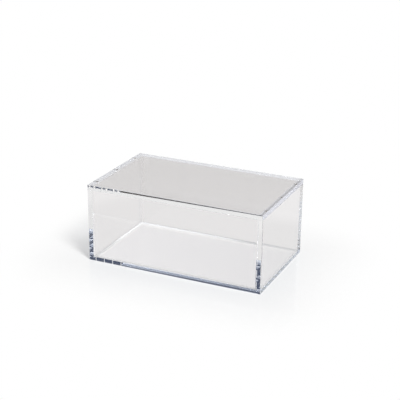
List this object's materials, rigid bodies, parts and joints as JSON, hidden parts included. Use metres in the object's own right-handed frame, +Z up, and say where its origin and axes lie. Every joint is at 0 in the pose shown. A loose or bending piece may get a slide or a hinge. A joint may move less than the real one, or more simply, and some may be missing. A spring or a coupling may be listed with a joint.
{
  "type": "acrylic storage box",
  "caption": "Clear rectangular acrylic storage box with thick welded walls and a flat lift-off lid of the same footprint, held in place by small magnets set into its rim.",
  "frame": {"origin": "middle of the underside of the base", "axes": "+X to the right along the width, +Y to the back along the depth, +Z up, the way the lid lifts"},
  "size_m": [0.22, 0.132, 0.095],
  "materials": {
    "clear_acrylic": "clear cast acrylic sheet with polished edges",
    "nickel_plated_magnet": "bright nickel plating"
  },
  "bodies": {
    "box": {"base_panel": "clear_acrylic", "front_wall": "clear_acrylic", "back_wall": "clear_acrylic", "left_wall": "clear_acrylic", "right_wall": "clear_acrylic", "wall_magnet_left_front": "nickel_plated_magnet", "wall_magnet_left_middle": "nickel_plated_magnet", "wall_magnet_left_back": "nickel_plated_magnet", "wall_magnet_right_front": "nickel_plated_magnet", "wall_magnet_right_middle": "nickel_plated_magnet", "wall_magnet_right_back": "nickel_plated_magnet"},
    "lid": {"lid_panel": "clear_acrylic", "lid_magnet_left_front": "nickel_plated_magnet", "lid_magnet_left_middle": "nickel_plated_magnet", "lid_magnet_left_back": "nickel_plated_magnet", "lid_magnet_right_front": "nickel_plated_magnet", "lid_magnet_right_middle": "nickel_plated_magnet", "lid_magnet_right_back": "nickel_plated_magnet"}
  },
  "joints": [
    {"name": "lid_lift", "type": "slide", "parent": "box", "child": "lid", "axis": [0, 0, 1], "range_m": [0, 0.1]}
  ]
}
